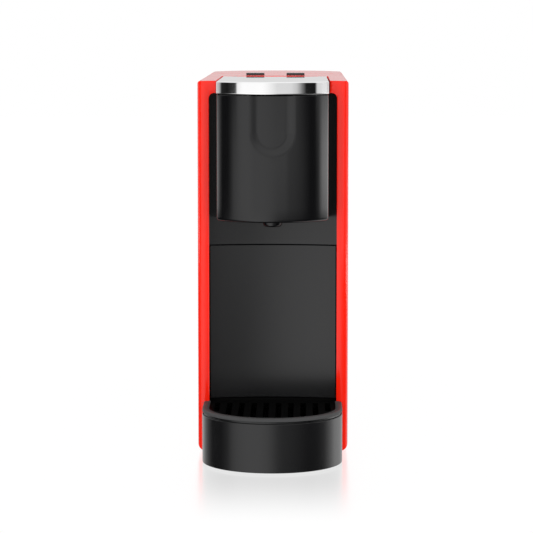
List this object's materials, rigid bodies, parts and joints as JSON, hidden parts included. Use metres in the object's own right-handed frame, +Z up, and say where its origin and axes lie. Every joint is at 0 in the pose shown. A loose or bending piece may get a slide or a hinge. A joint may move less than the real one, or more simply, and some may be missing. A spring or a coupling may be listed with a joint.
{
  "type": "espresso machine",
  "caption": "Slim capsule espresso machine with a chrome lift lever, black brew head over a D-shaped drip tray, pull-out capsule bin and lift-out rear water tank.",
  "frame": {"origin": "on the table, below the middle of the machine's overall box", "axes": "+Z up, the front with the drip tray faces -Y, +X to the right seen from the front"},
  "size_m": [0.112, 0.4134, 0.2813],
  "materials": {
    "red_shell": "gloss",
    "chrome_cap": "polished",
    "gloss_black": "gloss",
    "satin_black": "satin",
    "inner_black": "matte",
    "piston_grey": "matte",
    "tank_clear": "clear",
    "white_plastic": "satin",
    "hose_clear": "satin",
    "black_rubber": "matte",
    "seal_rubber": "matte",
    "steel": "brushed",
    "screw_steel": "plated",
    "spring_steel": "bright",
    "cast_aluminium": "cast",
    "heater_sheath": "heat stained",
    "pump_iron": "dull",
    "circuit_board": "satin",
    "switch_black": "satin"
  },
  "bodies": {
    "housing": {"outer_casing": "red_shell", "base_plate": "inner_black", "rubber_feet": "black_rubber", "base_screws": "screw_steel", "chassis": "inner_black", "brew_frame": "inner_black", "frame_screws": "screw_steel", "chute_deck": "gloss_black", "front_panel": "satin_black", "head_cover": "gloss_black", "outlet_plate": "steel", "outlet_duct": "inner_black", "spout": "satin_black", "lever_pin": "steel", "feed_tube": "steel", "thermoblock": "cast_aluminium", "heating_rod": "heater_sheath", "thermostat": "heater_sheath", "pump": "pump_iron", "pump_mounts": "black_rubber", "flow_meter": "white_plastic", "suction_hose": "hose_clear", "pump_hose": "hose_clear", "pressure_tube": "hose_clear", "tank_cradle": "inner_black", "tank_spigot": "white_plastic", "spigot_seal": "seal_rubber", "rear_panel": "satin_black", "rear_screws": "screw_steel", "power_inlet": "satin_black", "control_board": "circuit_board", "button_board": "circuit_board", "key_switches": "switch_black", "key_spring_left": "spring_steel", "key_spring_right": "spring_steel"},
    "lever": {"lever_cap": "chrome_cap", "lever_frame": "satin_black", "lever_screws": "screw_steel"},
    "piston": {"brew_piston": "piston_grey", "piston_seal": "seal_rubber", "toggle_axle": "steel"},
    "links": {"toggle_links": "steel", "link_pins": "steel"},
    "bin": {"capsule_bin": "satin_black", "bin_front": "satin_black"},
    "tray": {"tray_bowl": "gloss_black", "tray_rim": "satin_black", "cup_grille": "gloss_black"},
    "tank": {"water_tank": "tank_clear", "tank_valve": "white_plastic", "tank_valve_spring": "spring_steel", "lid_pins": "steel"},
    "lid": {"tank_lid": "red_shell"},
    "key_left": {"button_left": "gloss_black"},
    "key_right": {"button_right": "gloss_black"}
  },
  "joints": [
    {"name": "lever_lift", "type": "hinge", "parent": "housing", "child": "lever", "pos_m": [0, 0.00865, 0.2773], "axis": [-1, 0, 0], "range_deg": [0, 70]},
    {"name": "piston_slide", "type": "slide", "parent": "housing", "child": "piston", "axis": [0, 1, 0], "range_m": [0, 0.0216]},
    {"name": "link_swing", "type": "hinge", "parent": "piston", "child": "links", "pos_m": [0, -0.07593, 0.235], "axis": [1, 0, 0], "range_deg": [0, 30.3]},
    {"name": "bin_pull", "type": "slide", "parent": "housing", "child": "bin", "axis": [0, -1, 0], "range_m": [0, 0.11]},
    {"name": "tray_pull", "type": "slide", "parent": "housing", "child": "tray", "axis": [0, -1, 0], "range_m": [0, 0.06]},
    {"name": "tank_lift", "type": "slide", "parent": "housing", "child": "tank", "axis": [0, 0, 1], "range_m": [0, 0.23]},
    {"name": "lid_open", "type": "hinge", "parent": "tank", "child": "lid", "pos_m": [0, 0.10765, 0.2769], "axis": [1, 0, 0], "range_deg": [0, 90]},
    {"name": "left_key_press", "type": "slide", "parent": "housing", "child": "key_left", "axis": [0, 0, -1], "range_m": [0, 0.0015], "stiffness_N_per_m": 300, "springref_m": -0.002, "deforming": ["key_spring_left"]},
    {"name": "right_key_press", "type": "slide", "parent": "housing", "child": "key_right", "axis": [0, 0, -1], "range_m": [0, 0.0015], "stiffness_N_per_m": 300, "springref_m": -0.002, "deforming": ["key_spring_right"]}
  ],
  "couplings": [
    {"joint": "piston_slide", "follows": "lever_lift", "m_per_rad": 0.017678},
    {"joint": "link_swing", "follows": "lever_lift", "ratio": 0.43281}
  ]
}
